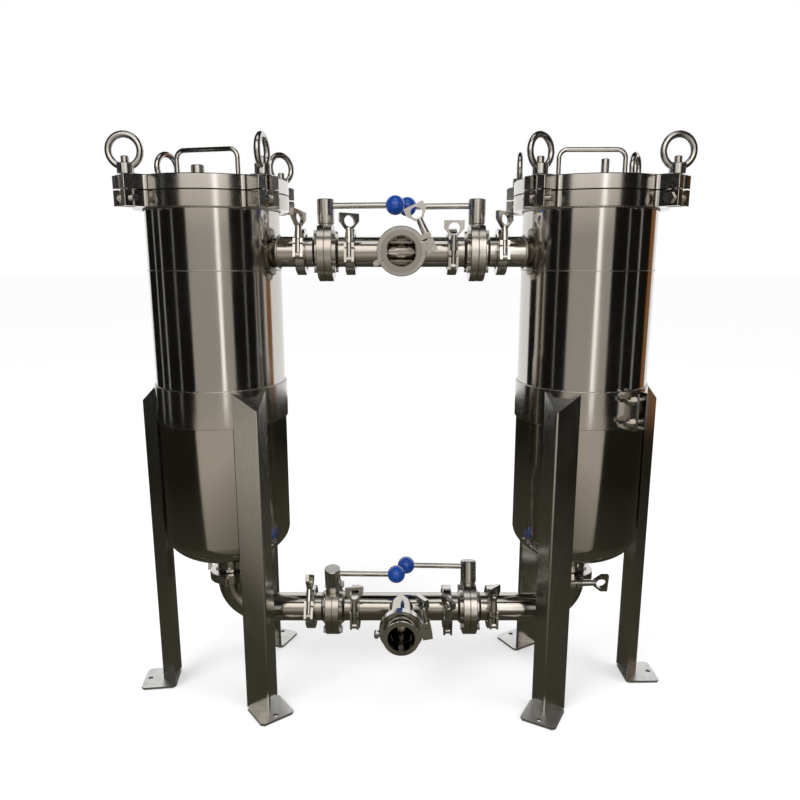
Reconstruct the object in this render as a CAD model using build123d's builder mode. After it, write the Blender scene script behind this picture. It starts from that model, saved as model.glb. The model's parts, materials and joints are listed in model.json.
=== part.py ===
"""Twin bag filter housing: two vessels on legs, joined by two tube headers with butterfly valves.

Millimetres, +Z up. The origin is on the floor, under the middle of the whole assembly.
X runs along the headers, and the two process connections point along -Y.
"""
import os
from math import cos, radians, sin, sqrt, tan

from build123d import *

# ---------------------------------------------------------------- layout
vessel_pitch = 630.0            # between the two vessel axes
upper_axis_z = 795.0            # inlet header
lower_axis_z = 142.0            # outlet header
valve_centre_x = 126.5          # valve stems either side of the middle
face_to_face = 83.0             # valve, between its two clamp joints

# ---------------------------------------------------------------- clearances
running_gap = 0.06              # radial, a shaft in its hole
sliding_gap = 0.3               # between pieces that pass each other
weld_gap = 0.1                  # between curved faces that are welded

# ---------------------------------------------------------------- vessel
shell_radius = 109.5
shell_wall = 3.0
head_tangent_z = 303.0
head_depth = 55.0
flange_width = 16.5             # beyond the shell
flange_bottom_z = 861.5
flange_thickness = 23.5
lid_gap = 2.0                   # gasket squeezed between flange and lid
lid_thickness = 22.0
lid_edge = 1.2
ledge_width = 4.1               # seat of the basket rim in the flange
ledge_depth = 6.0
gasket_inset = 2.4              # from the ledge to the gasket groove
gasket_width = 6.0
gasket_groove_depth = 1.5

# ---------------------------------------------------------------- lugs and swing bolts
bolt_outward = 20.0             # from the flange's rim to the swing bolts
lug_outward = 14.0              # lug beyond the swing bolts
lug_width = 38.0
lug_slot_width = 14.6
lug_root_fillet = 9.0
lug_corner_fillet = 1.5
pivot_radius = 5.0
pivot_length = 45.0
pivot_head_radius = 8.0
pivot_head_length = 4.0
cotter_radius = 1.0
cotter_length = 24.0
eye_radius = 10.5
stud_radius = 6.0
stud_above_lid = 26.0
stud_chamfer = 1.0
nut_collar_radius = 12.5
nut_collar_height = 15.5
nut_ring_radius = 23.7          # to the middle of the ring's rod
nut_ring_rod_radius = 5.2
nut_seat_gap = 0.3

# Direction of each lug from its vessel's axis, in degrees from the front (-Y) towards +X,
# with how far its eye nut's ring is turned from the X direction.
lug_angles = {
    "left": {
        "front_left": (-44, 2),
        "front_right": (46, 83),
        "back_right": (138, 48),
        "back_left": (-134, 62),
    },
    "right": {
        "front_left": (-46, 38),
        "front_right": (44, 4.5),
        "back_right": (134, 58),
        "back_left": (-136, 80),
    },
}

# ---------------------------------------------------------------- lid fittings
handle_rod_radius = 4.0
handle_width = 110.0
handle_height = 50.5            # lid top to the middle of the grip rod
handle_bend_radius = 14.0
handle_turn = {"left": -13.0, "right": 0.0}
handle_shift = {"left": -6.0, "right": 0.0}     # along X
vent_offset_x = 28.0
vent_offset_y = 22.0
vent_size = {"left": (11.3, 29.0), "right": (7.0, 39.0)}    # radius and height
vent_spigot_radius = 5.0

# ---------------------------------------------------------------- basket and bag
basket_clearance = 14.5         # between basket and shell
basket_wall = 1.5
basket_length = 445.0
basket_rim_thickness = 3.0
basket_rim_gap = 0.4
basket_hole_radius = 9.0
basket_holes_round = 12
basket_hole_rows = 7
bag_wall = 1.6
bag_gap = 0.6
bag_ring_clearance = 7.6        # between the collar and the ledge's wall
bag_ring_thickness = 3.5

# ---------------------------------------------------------------- band, legs and feet
band_bottom_z = 512.0
band_height = 61.0
band_thickness = 3.0
band_gap_width = 16.0
ear_thickness = 5.0
ear_length = 24.0
band_bolt_radius = 4.0
band_bolt_spacing = 36.0
hex_flat_m8 = 13.0
hex_thickness_m8 = 6.0
leg_width = 42.0
leg_wall = 4.0
leg_corner_fillet = 4.0
leg_top_drop = 3.0              # leg top below the band's top edge
leg_cap_recess = 3.0
leg_cap_thickness = 3.0
foot_side = 62.0
foot_thickness = 5.0
foot_chamfer = 5.0
foot_outward = 1.5              # foot centre beyond the leg's corner
foot_hole_radius = 4.5
foot_hole_outward = 20.5        # hole beyond the foot's centre
leg_angles = {"left": (-83.0, 37.0, 157.0), "right": (91.0, -29.0, -149.0)}
ear_angles = {"left": -143.0, "right": 31.0}

# ---------------------------------------------------------------- tube, ferrules and clamps
tube_radius = 25.4
tube_wall = 1.5
ferrule_radius = 32.0
ferrule_rim = 2.2
ferrule_cone = 20.0             # degrees
ferrule_gasket = 2.0
tee_end_length = 28.0           # loose ferrule piece on each tee's branch
elbow_radius = 57.0
outlet_joint_z = 213.0
weld_inset = 4.0
clamp_radius = 39.0
clamp_half_width = 8.0
clamp_lip_radius = 28.8
clamp_bolt_radius = 3.7
clamp_bolt_reach = 46.0         # pipe axis to clamp bolt
clamp_split = 1.4               # half the gap between the two halves
clamp_lug_height = 9.0
clamp_pivot_drop = 17.0
clamp_hinge_radius = 4.5
clamp_pin_radius = 2.4
clamp_eye_half_width = 3.4
wing_shank_radius = 6.3
wing_shank_length = 22.0
wing_head_width = 33.0
wing_head_height = 25.0
wing_head_thickness = 7.0
wing_hole_radius = 9.2

# ---------------------------------------------------------------- butterfly valve
valve_radius = 49.5
valve_half_width = 12.5
valve_flat_z = 42.5             # flat top of the body, above the pipe axis
valve_neck_radius = 13.0
valve_neck_top = 45.5
valve_split = 0.1
valve_hub_radius = 30.0
valve_hub_length = 17.0
seat_radius = 33.0
seat_half_width = 7.0
disc_radius = 23.4
disc_thickness = 5.0
stem_radius = 6.0
stem_top = 66.0
stem_bottom = -36.0
valve_bolt_circle = 41.0
valve_bolt_radius = 3.0
valve_nut_flat = 11.0
valve_nut_thickness = 5.0
lever_hub_radius = 14.4
lever_hub_top = 86.0
lever_height = 75.0             # lever rod above the pipe axis
lever_reach = 117.5             # stem to the middle of the knob
lever_rod_radius = 5.0
lever_rod_start = 3.0
lever_rod_clearance = 7.0       # free depth behind the rod's inner end
knob_radius = 16.0
knob_hole_depth = 12.0
# (side of the middle, header axis height, lean of the stem towards +Y, lever direction)
# Lever directions are in degrees from +X, seen from above.
valves = {
    "upper_left": (-1, upper_axis_z, 0.0, -8.0),
    "upper_right": (1, upper_axis_z, 0.0, 172.0),
    "lower_left": (-1, lower_axis_z, -11.0, -1.0),
    "lower_right": (1, lower_axis_z, 14.0, 174.7),
}

# ---------------------------------------------------------------- worked-out sizes
bore_radius = tube_radius - tube_wall
shell_bore_radius = shell_radius - shell_wall
flange_radius = shell_radius + flange_width
ledge_radius = shell_bore_radius + ledge_width
gasket_inner_radius = ledge_radius + gasket_inset
bolt_circle_radius = flange_radius + bolt_outward
lug_end_radius = bolt_circle_radius + lug_outward
basket_radius = shell_bore_radius - basket_clearance
bag_ring_radius = ledge_radius - bag_ring_clearance
flange_top_z = flange_bottom_z + flange_thickness
lid_bottom_z = flange_top_z + lid_gap
lid_top_z = lid_bottom_z + lid_thickness
pivot_z = flange_bottom_z + flange_thickness / 2
band_radius = shell_radius + weld_gap + band_thickness
band_top_z = band_bottom_z + band_height
leg_diagonal = leg_width / sqrt(2)
leg_corner_radius = sqrt(band_radius**2 - leg_diagonal**2) + leg_diagonal + sliding_gap
leg_top_z = band_top_z - leg_top_drop
foot_radius = leg_corner_radius + foot_outward
foot_hole_circle = foot_radius + foot_hole_outward
outer_joint_x = valve_centre_x + face_to_face / 2
inner_joint_x = valve_centre_x - face_to_face / 2
clamp_hinge_reach = clamp_radius + clamp_hinge_radius + 2 * sliding_gap
ledge_z = flange_top_z - ledge_depth
nut_seat_z = lid_top_z + nut_seat_gap
seat_face = ferrule_gasket / 2


def foot_reach(side, direction):
    """Furthest reach of one vessel's feet from its axis, along X (0) or Y (1) with its sign."""
    reach = []
    for angle in leg_angles[side]:
        turn = radians(angle)
        outward = (sin(turn), -cos(turn))
        across = (cos(turn), sin(turn))
        for out in (-foot_side / 2, foot_side / 2):
            for along in (-foot_side / 2 + foot_chamfer, foot_side / 2 - foot_chamfer):
                reach.append((foot_radius + out) * outward[direction] + along * across[direction])
        for out in (-foot_side / 2 + foot_chamfer, foot_side / 2 - foot_chamfer):
            for along in (-foot_side / 2, foot_side / 2):
                reach.append((foot_radius + out) * outward[direction] + along * across[direction])
    return reach


# The headers' middle stands a little off the origin, so that the origin is under the middle of the feet.
middle_x = -(max(foot_reach("right", 0)) + min(foot_reach("left", 0))) / 2
all_reach_y = foot_reach("left", 1) + foot_reach("right", 1)
middle_y = -(max(all_reach_y) + min(all_reach_y)) / 2
vessel_x = {"left": middle_x - vessel_pitch / 2, "right": middle_x + vessel_pitch / 2}
inward = {"left": 1, "right": -1}


# ---------------------------------------------------------------- helpers
def radial_plane(side, angle, height=0.0):
    """A level plane on a vessel's axis, whose x points outward at the angle from the front."""
    turn = radians(angle)
    return Plane(origin=(vessel_x[side], middle_y, height), x_dir=(sin(turn), -cos(turn), 0), z_dir=(0, 0, 1))


def seat(place, point=(0, 0, 0), normal=(0, 0, 1), across=(1, 0, 0)):
    """A plane at a point of another plane's frame, its directions also given in that frame."""
    origin = place.from_local_coords(Vector(*point))
    across_out = place.from_local_coords(Vector(*across)) - place.origin
    normal_out = place.from_local_coords(Vector(*normal)) - place.origin
    return Plane(origin=origin, x_dir=across_out, z_dir=normal_out)


def turned(place, profile, mode=Mode.ADD):
    """Revolve a closed list of (radius, height) points about the place's z axis."""
    with BuildSketch(seat(place, normal=(0, -1, 0))) as section:
        with BuildLine():
            Polyline(*profile, close=True)
        make_face()
    revolve(section.sketch, axis=Axis(place.origin, place.z_dir), mode=mode)


def rod(place, start, end, radius, mode=Mode.ADD):
    """A cylinder on the place's z axis between two heights."""
    with BuildSketch(place.offset(start)) as section:
        Circle(radius)
    extrude(section.sketch, amount=end - start, mode=mode)


def prism(place, bottom, top, width_x, width_y, centre=(0, 0), mode=Mode.ADD):
    """A block on the place, between two heights."""
    with BuildSketch(place.offset(bottom)) as section:
        with Locations(centre):
            Rectangle(width_x, width_y)
    extrude(section.sketch, amount=top - bottom, mode=mode)


def hexagon(place, bottom, top, across_flats, mode=Mode.ADD):
    """A hexagonal head or nut blank on the place's z axis."""
    with BuildSketch(place.offset(bottom)) as section:
        RegularPolygon(across_flats / 2, 6, major_radius=False)
    extrude(section.sketch, amount=top - bottom, mode=mode)


def ferrule_points(face, into_pipe):
    """Outer points of a ferrule whose face is at a height, with the pipe going towards +1 or -1."""
    cone_length = (ferrule_radius - tube_radius) * tan(radians(ferrule_cone))
    return [
        (ferrule_radius, face),
        (ferrule_radius, face + into_pipe * ferrule_rim),
        (tube_radius, face + into_pipe * (ferrule_rim + cone_length)),
    ]


def ferruled_pipe(place, start, end, ferrule_at_start=False):
    """A straight pipe with a ferrule at its far end, and one at its near end if asked."""
    outside = ferrule_points(start, 1) if ferrule_at_start else [(tube_radius, start)]
    outside += list(reversed(ferrule_points(end, -1)))
    turned(place, [(bore_radius, start)] + outside + [(bore_radius, end)])


def save(builder_part, name):
    """Label a finished piece and write its file."""
    builder_part.label = name
    export_step(builder_part, f"parts/{name}.step")


# ---------------------------------------------------------------- places
def header_place(side_sign, offset_x, height):
    """A plane on a header whose z points away from the middle along the pipe."""
    return Plane(
        origin=(middle_x + side_sign * offset_x, middle_y, height),
        x_dir=(0, -side_sign, 0),
        z_dir=(side_sign, 0, 0),
    )


def branch_place(height):
    """A plane on a tee's branch: z along the branch, towards the front."""
    return Plane(origin=(middle_x, middle_y, height), x_dir=(1, 0, 0), z_dir=(0, -1, 0))


def clamp_place(origin, pipe, bolt_side):
    """A plane at a clamp joint: z along the pipe, x towards the bolt, y towards the wing nut."""
    return Plane(origin=origin, x_dir=bolt_side, z_dir=pipe)


def header_clamp(offset_x, height, lean):
    """A clamp on a header, its bolt at the front and leaning back by the angle."""
    turn = radians(lean)
    return clamp_place((middle_x + offset_x, middle_y, height), (-1, 0, 0), (0, -cos(turn), sin(turn)))


def branch_clamp(height, lift):
    """A clamp on a tee's branch, its bolt at the right and raised by the angle."""
    turn = radians(lift)
    return clamp_place((middle_x, middle_y - inner_joint_x, height), (0, -1, 0), (cos(turn), 0, sin(turn)))


def outlet_clamp(side, front):
    """A clamp under a vessel, its bolt at the front (1) or at the back (-1)."""
    return clamp_place((vessel_x[side], middle_y, outlet_joint_z), (0, 0, 1), (0, -front, 0))


# Every clamp joint, with the turn of its wing nut about its own bolt.
clamp_joints = [
    (header_clamp(-outer_joint_x, upper_axis_z, 14), 60),
    (header_clamp(-inner_joint_x, upper_axis_z, 6), 25),
    (header_clamp(inner_joint_x, upper_axis_z, -8), 0),
    (header_clamp(outer_joint_x, upper_axis_z, 10), 35),
    (header_clamp(-outer_joint_x, lower_axis_z, 28), 80),
    (header_clamp(-inner_joint_x, lower_axis_z, 5), 20),
    (header_clamp(inner_joint_x, lower_axis_z, -12), -55),
    (header_clamp(outer_joint_x, lower_axis_z, 6), 50),
    (branch_clamp(upper_axis_z, 25), 90),
    (branch_clamp(lower_axis_z, 10), 30),
    (outlet_clamp("left", -1), 20),
    (outlet_clamp("right", 1), 10),
]
lugs = [
    (side, corner, radial_plane(side, angle), ring_turn)
    for side, corners in lug_angles.items()
    for corner, (angle, ring_turn) in corners.items()
]


# ---------------------------------------------------------------- vessels
def make_shell(side):
    """Rolled shell with its dished bottom head, cut for the inlet and the outlet."""
    place = radial_plane(side, 0)
    with BuildPart() as shell:
        with BuildSketch(seat(place, normal=(0, -1, 0))):
            with BuildLine():
                Line((0, head_tangent_z - head_depth), (0, head_tangent_z - head_depth + shell_wall))
                EllipticalCenterArc(
                    (0, head_tangent_z), shell_bore_radius, head_depth - shell_wall, start_angle=270, arc_size=90
                )
                Line((shell_bore_radius, head_tangent_z), (shell_bore_radius, flange_bottom_z))
                Line((shell_bore_radius, flange_bottom_z), (shell_radius, flange_bottom_z))
                Line((shell_radius, flange_bottom_z), (shell_radius, head_tangent_z))
                EllipticalCenterArc((0, head_tangent_z), shell_radius, head_depth, start_angle=270, arc_size=90)
            make_face()
        revolve(axis=Axis(place.origin, place.z_dir))
        inlet = seat(place, (0, 0, upper_axis_z), normal=(0, inward[side], 0), across=(0, 0, 1))
        rod(inlet, 0, vessel_pitch / 2 - outer_joint_x, tube_radius + weld_gap, mode=Mode.SUBTRACT)
        rod(place, outlet_joint_z, head_tangent_z, tube_radius + weld_gap, mode=Mode.SUBTRACT)
    return shell.part


def lug_outline(side, slot_start):
    """The disc with its four forked lugs, drawn about the middle of a sketch."""
    angles = [angle for angle, _ in lug_angles[side].values()]
    Circle(flange_radius)
    for angle in angles:
        with PolarLocations(lug_end_radius / 2, 1, start_angle=angle):
            Rectangle(lug_end_radius, lug_width)
    fillet([v for v in vertices() if abs(Vector(v.X, v.Y).length - flange_radius) < weld_gap], lug_root_fillet)
    fillet([v for v in vertices() if Vector(v.X, v.Y).length > lug_end_radius], lug_corner_fillet)
    slot_end = lug_end_radius + lug_slot_width
    for angle in angles:
        with PolarLocations((slot_start + slot_end) / 2, 1, start_angle=angle):
            Rectangle(slot_end - slot_start, lug_slot_width, mode=Mode.SUBTRACT)


def make_flange(side):
    """Vessel flange with ledge, gasket groove, forked lugs and pivot holes."""
    centre = radial_plane(side, 0)
    with BuildPart() as flange:
        with BuildSketch(centre.offset(flange_bottom_z)):
            lug_outline(side, bolt_circle_radius - eye_radius - sliding_gap)
            Circle(shell_bore_radius, mode=Mode.SUBTRACT)
        extrude(amount=flange_thickness)
        rod(centre, ledge_z, flange_top_z, ledge_radius, mode=Mode.SUBTRACT)
        with BuildSketch(centre.offset(flange_top_z)):
            Circle(gasket_inner_radius + gasket_width)
            Circle(gasket_inner_radius, mode=Mode.SUBTRACT)
        extrude(amount=-gasket_groove_depth, mode=Mode.SUBTRACT)
        for lug_side, _, place, _ in lugs:
            if lug_side == side:
                pivot = seat(place, (bolt_circle_radius, 0, pivot_z), normal=(0, 1, 0))
                rod(pivot, -lug_width, lug_width, pivot_radius + running_gap, mode=Mode.SUBTRACT)
    return flange.part


def make_gasket(side):
    """Lid gasket in the flange's groove."""
    centre = radial_plane(side, 0)
    with BuildPart() as gasket:
        with BuildSketch(centre.offset(flange_top_z - gasket_groove_depth)):
            Circle(gasket_inner_radius + gasket_width - weld_gap)
            Circle(gasket_inner_radius + weld_gap, mode=Mode.SUBTRACT)
        extrude(amount=gasket_groove_depth + lid_gap - running_gap)
    return gasket.part


def make_lid(side):
    """Flat lid with four slotted lugs, relieved so that a tightened swing bolt can turn out."""
    centre = radial_plane(side, 0)
    nut_reach = nut_seat_z - pivot_z - sliding_gap
    with BuildPart() as lid:
        with BuildSketch(centre.offset(lid_bottom_z)):
            lug_outline(side, bolt_circle_radius - lug_slot_width / 2)
        extrude(amount=lid_thickness)
        rim = lid.edges().filter_by(GeomType.CIRCLE).filter_by(lambda e: abs(e.radius - flange_radius) < weld_gap)
        chamfer(rim.group_by(Axis.Z)[-1], lid_edge)
        for lug_side, _, place, _ in lugs:
            if lug_side == side:
                pivot = seat(place, (bolt_circle_radius, 0, pivot_z), normal=(0, 1, 0), across=(1, 0, 0))
                with BuildSketch(pivot.offset(-lug_width)):
                    with Locations((nut_reach / 2, -nut_reach / 2)):
                        Rectangle(nut_reach, 2 * nut_reach)
                    Circle(nut_reach, mode=Mode.SUBTRACT)
                extrude(amount=2 * lug_width, mode=Mode.SUBTRACT)
        vent_x, vent_y = vent_point(side)
        with Locations(Location((vent_x, vent_y, lid_bottom_z + lid_thickness / 2))):
            Cylinder(vent_spigot_radius + running_gap, 2 * lid_thickness, mode=Mode.SUBTRACT)
    return lid.part


def vent_point(side):
    """Where the vent plug stands on a lid, on the outer side and towards the back."""
    return vessel_x[side] - inward[side] * vent_offset_x, middle_y + vent_offset_y


def make_handle(side):
    """Bent rod handle welded to the lid."""
    across = radial_plane(side, 90 + handle_turn[side], lid_top_z)
    across = across.shift_origin(across.origin + Vector(handle_shift[side], 0, 0))
    half = handle_width / 2
    with BuildPart() as handle:
        with BuildLine(seat(across, normal=(0, -1, 0))):
            FilletPolyline(
                (-half, 0), (-half, handle_height), (half, handle_height), (half, 0), radius=handle_bend_radius
            )
        with BuildSketch(across.shift_origin(across.from_local_coords(Vector(-half, 0, 0)))):
            Circle(handle_rod_radius)
        sweep()
    return handle.part


def make_vent_plug(side):
    """Vent plug with its spigot in the lid."""
    radius, height = vent_size[side]
    vent_x, vent_y = vent_point(side)
    place = Plane(origin=(vent_x, vent_y, lid_top_z), z_dir=(0, 0, 1))
    with BuildPart() as plug:
        turned(
            place,
            [
                (0, -lid_thickness / 2),
                (vent_spigot_radius, -lid_thickness / 2),
                (vent_spigot_radius, 0),
                (radius, 0),
                (radius, height - stud_chamfer),
                (radius - stud_chamfer, height),
                (0, height),
            ],
        )
    return plug.part


def make_swing_bolt(place):
    """Swing bolt: an eye on the lug's pivot pin and a stud up through the lid's slot."""
    eye_width = lug_slot_width - 2 * sliding_gap
    pivot = seat(place, (bolt_circle_radius, 0, pivot_z), normal=(0, 1, 0))
    upright = seat(place, (bolt_circle_radius, 0, 0))
    stud_top = lid_top_z + stud_above_lid
    with BuildPart() as bolt:
        rod(pivot, -eye_width / 2, eye_width / 2, eye_radius)
        turned(
            upright,
            [
                (0, pivot_z),
                (stud_radius, pivot_z),
                (stud_radius, stud_top - stud_chamfer),
                (stud_radius - stud_chamfer, stud_top),
                (0, stud_top),
            ],
        )
        rod(pivot, -lug_width, lug_width, pivot_radius + running_gap, mode=Mode.SUBTRACT)
    return bolt.part


def make_eye_nut(place, ring_turn):
    """Lifting-eye nut: a round collar with a ring above it, bored for the stud."""
    upright = seat(place, (bolt_circle_radius, 0, 0))
    ring_x = (cos(radians(ring_turn)), sin(radians(ring_turn)), 0)
    ring_centre_z = nut_seat_z + nut_ring_radius + 2 * nut_ring_rod_radius - stud_chamfer
    level = Plane(origin=(upright.origin.X, upright.origin.Y, ring_centre_z), x_dir=ring_x, z_dir=(0, 0, 1))
    with BuildPart() as nut:
        turned(
            upright,
            [
                (0, nut_seat_z),
                (nut_collar_radius, nut_seat_z),
                (nut_collar_radius, nut_seat_z + nut_collar_height - stud_chamfer),
                (nut_collar_radius - stud_chamfer, nut_seat_z + nut_collar_height),
                (0, nut_seat_z + nut_collar_height),
            ],
        )
        with BuildSketch(level):
            with Locations((nut_ring_radius, 0)):
                Circle(nut_ring_rod_radius)
        revolve(axis=Axis(level.origin, level.y_dir))
        rod(upright, nut_seat_z - 1, ring_centre_z, stud_radius + running_gap, mode=Mode.SUBTRACT)
    return nut.part


def make_pivot_pins():
    """Pivot pins across the flange lugs, each with its cotter."""
    with BuildPart() as pins:
        for _, _, place, _ in lugs:
            pivot = seat(place, (bolt_circle_radius, 0, pivot_z), normal=(0, 1, 0))
            head_face = -lug_width / 2 - sliding_gap
            rod(pivot, head_face, head_face + pivot_length, pivot_radius)
            hexagon(pivot, head_face - pivot_head_length, head_face, 2 * pivot_head_radius)
            cotter_at = lug_width / 2 + cotter_radius + sliding_gap
            cotter = seat(place, (bolt_circle_radius, cotter_at, pivot_z))
            rod(cotter, -pivot_length, pivot_length, cotter_radius + running_gap, mode=Mode.SUBTRACT)
            rod(cotter, -cotter_length / 2, cotter_length / 2, cotter_radius)
    return pins.part


# ---------------------------------------------------------------- basket and bag
def make_basket(side):
    """Perforated restrainer basket, hung by its rim from the flange's ledge."""
    centre = radial_plane(side, 0)
    rim_top = ledge_z + basket_rim_thickness
    bottom = rim_top - basket_length
    with BuildPart() as basket:
        turned(
            centre,
            [
                (0, bottom),
                (basket_radius, bottom),
                (basket_radius, ledge_z),
                (ledge_radius - basket_rim_gap, ledge_z),
                (ledge_radius - basket_rim_gap, rim_top),
                (basket_radius - basket_wall, rim_top),
                (basket_radius - basket_wall, bottom + basket_wall),
                (0, bottom + basket_wall),
            ],
        )
        row_pitch = basket_length / (basket_hole_rows + 1)
        for row in range(1, basket_hole_rows + 1):
            for step in range(basket_holes_round // 2):
                spoke = radial_plane(side, step * 360 / basket_holes_round, bottom + row * row_pitch)
                rod(
                    seat(spoke, normal=(1, 0, 0), across=(0, 1, 0)),
                    -basket_radius - 1,
                    basket_radius + 1,
                    basket_hole_radius,
                    mode=Mode.SUBTRACT,
                )
    return basket.part


def make_bag(side):
    """Felt filter bag with its collar resting on the basket's rim."""
    rim_top = ledge_z + basket_rim_thickness
    outside = basket_radius - basket_wall - bag_gap
    inside = outside - bag_wall
    bottom = rim_top - basket_length + basket_wall + bag_gap
    with BuildPart() as bag:
        turned(
            radial_plane(side, 0),
            [
                (0, bottom),
                (outside, bottom),
                (outside, rim_top),
                (bag_ring_radius, rim_top),
                (bag_ring_radius, rim_top + bag_ring_thickness),
                (inside, rim_top + bag_ring_thickness),
                (inside, bottom + bag_wall),
                (0, bottom + bag_wall),
            ],
        )
    return bag.part


# ---------------------------------------------------------------- band, legs and feet
def ear_positions():
    """Along-tangent starts of a band's two ears."""
    return (-band_gap_width / 2 - ear_thickness, band_gap_width / 2)


def make_band(side):
    """Split support band with two ears."""
    place = radial_plane(side, ear_angles[side], band_bottom_z)
    inner = shell_radius + weld_gap
    with BuildPart() as band:
        with BuildSketch(place):
            Circle(band_radius)
            Circle(inner, mode=Mode.SUBTRACT)
            with Locations((band_radius, 0)):
                Rectangle(2 * ear_length, band_gap_width, mode=Mode.SUBTRACT)
            for start in ear_positions():
                with Locations((band_radius + ear_length / 2 - band_thickness / 2, start + ear_thickness / 2)):
                    Rectangle(ear_length + band_thickness, ear_thickness)
            Circle(inner, mode=Mode.SUBTRACT)
        extrude(amount=band_height)
        for bolt in band_bolt_places(side):
            rod(bolt, -2 * ear_length, 2 * ear_length, band_bolt_radius + sliding_gap, mode=Mode.SUBTRACT)
    return band.part


def band_bolt_places(side):
    """Planes on the band's two bolts, z along the bolt."""
    place = radial_plane(side, ear_angles[side], band_bottom_z + band_height / 2)
    return [
        seat(place, (band_radius + ear_length / 2, 0, height), normal=(0, 1, 0))
        for height in (-band_bolt_spacing / 2, band_bolt_spacing / 2)
    ]


def make_band_bolts():
    """Hexagon bolts and nuts that close the bands."""
    ear_face = band_gap_width / 2 + ear_thickness
    with BuildPart() as bolts:
        for side in vessel_x:
            for place in band_bolt_places(side):
                nut_end = -ear_face - hex_thickness_m8
                hexagon(place, nut_end, -ear_face, hex_flat_m8)
                rod(place, nut_end, -ear_face, band_bolt_radius + running_gap, mode=Mode.SUBTRACT)
                rod(place, nut_end - hex_thickness_m8, ear_face, band_bolt_radius)
                hexagon(place, ear_face, ear_face + hex_thickness_m8, hex_flat_m8)
    return bolts.part


def leg_corner(side, angle):
    """A level plane at a leg's outer corner, its x and y along the two flanges."""
    place = radial_plane(side, angle)
    return seat(place, (leg_corner_radius, 0, foot_thickness), across=(-1, 1, 0))


def leg_slope(side, angle):
    """The sloped plane of a leg's top, rising towards the band."""
    place = radial_plane(side, angle)
    return seat(place, (leg_corner_radius - leg_diagonal, 0, leg_top_z), normal=(1, 0, 1), across=(0, 1, 0))


def make_leg(side, angle):
    """Angle-section leg with its corner outward and its top cut to a slope."""
    with BuildPart() as leg:
        with BuildSketch(leg_corner(side, angle)):
            Rectangle(leg_width, leg_width, align=(Align.MIN, Align.MIN))
            fillet(vertices().sort_by(lambda v: Vector(v.X, v.Y).length)[0], leg_corner_fillet)
            with Locations((leg_wall, leg_wall)):
                Rectangle(leg_width, leg_width, align=(Align.MIN, Align.MIN), mode=Mode.SUBTRACT)
        extrude(amount=leg_top_z)
        with BuildSketch(leg_slope(side, angle)):
            Rectangle(4 * leg_width, 4 * leg_width)
        extrude(amount=2 * leg_width, mode=Mode.SUBTRACT)
        rod(radial_plane(side, angle), 0, 2 * leg_top_z, band_radius + sliding_gap, mode=Mode.SUBTRACT)
    return leg.part


def make_leg_cap(side, angle):
    """Sloped plate that closes a leg's top, set down between its two flanges."""
    slope = leg_slope(side, angle)
    near = leg_wall + weld_gap
    far = leg_width - weld_gap
    low = leg_top_z - 2 * leg_width
    with BuildPart() as cap:
        with BuildSketch(leg_corner(side, angle).offset(low)):
            with BuildLine():
                Polyline((near, near), (far, near), (near, far), close=True)
            make_face()
        extrude(amount=3 * leg_width)
        with BuildSketch(slope.offset(-leg_cap_recess)):
            Rectangle(6 * leg_width, 6 * leg_width)
        extrude(amount=3 * leg_width, mode=Mode.SUBTRACT)
        with BuildSketch(slope.offset(-leg_cap_recess - leg_cap_thickness)):
            Rectangle(6 * leg_width, 6 * leg_width)
        extrude(amount=-3 * leg_width, mode=Mode.SUBTRACT)
        around = radial_plane(side, angle)
        rod(around, low, leg_top_z + leg_width, band_radius + sliding_gap, mode=Mode.SUBTRACT)
    return cap.part


def make_foot(side, angle):
    """Chamfered foot plate with its anchor hole."""
    place = radial_plane(side, angle)
    with BuildPart() as foot:
        with BuildSketch(place):
            with Locations((foot_radius, 0)):
                Rectangle(foot_side, foot_side)
            chamfer(vertices(), foot_chamfer)
            with Locations((foot_hole_circle, 0)):
                Circle(foot_hole_radius, mode=Mode.SUBTRACT)
        extrude(amount=foot_thickness)
    return foot.part


# ---------------------------------------------------------------- pipework
def make_nozzles():
    """The two inlet stubs and the two outlet stubs welded to the vessels."""
    inside = sqrt(shell_bore_radius**2 - tube_radius**2) - weld_inset / 2
    with BuildPart() as nozzles:
        for side in vessel_x:
            place = radial_plane(side, 0, upper_axis_z)
            stub = seat(place, normal=(0, inward[side], 0), across=(0, 0, 1))
            ferruled_pipe(stub, inside, vessel_pitch / 2 - outer_joint_x - seat_face)
            down = seat(radial_plane(side, 0), normal=(0, 0, -1))
            head_bottom = head_tangent_z - head_depth
            ferruled_pipe(down, -head_bottom - 2 * shell_wall, -outlet_joint_z - seat_face)
    return nozzles.part


def make_elbow(side):
    """Outlet bend under a vessel: ferrule, ninety degree bend, tube and ferrule."""
    sign = inward[side]
    top = outlet_joint_z - seat_face
    run_end = vessel_pitch / 2 - outer_joint_x - seat_face
    bend_z = lower_axis_z + elbow_radius
    start = Plane(origin=(vessel_x[side], middle_y, 0), x_dir=(sign, 0, 0), z_dir=(0, 0, 1))
    path_plane = Plane(origin=(vessel_x[side], middle_y, 0), x_dir=(sign, 0, 0), z_dir=(0, -sign, 0))
    level = Plane(origin=(vessel_x[side], middle_y, lower_axis_z), x_dir=(0, 1, 0), z_dir=(sign, 0, 0))
    ring = [(bore_radius, 0), (tube_radius, 0)]
    with BuildPart() as elbow:
        with BuildLine(path_plane):
            bend = RadiusArc((0, bend_z), (elbow_radius, lower_axis_z), -elbow_radius)
        with BuildSketch(start.offset(bend_z)):
            Circle(tube_radius)
            Circle(bore_radius, mode=Mode.SUBTRACT)
        sweep(path=bend)
        tail = [(bore_radius, bend_z), (tube_radius, bend_z)]
        turned(start, tail + ferrule_points(top, -1)[::-1] + [(bore_radius, top)])
        ferruled_pipe(level, elbow_radius, run_end)
    return elbow.part


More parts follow.
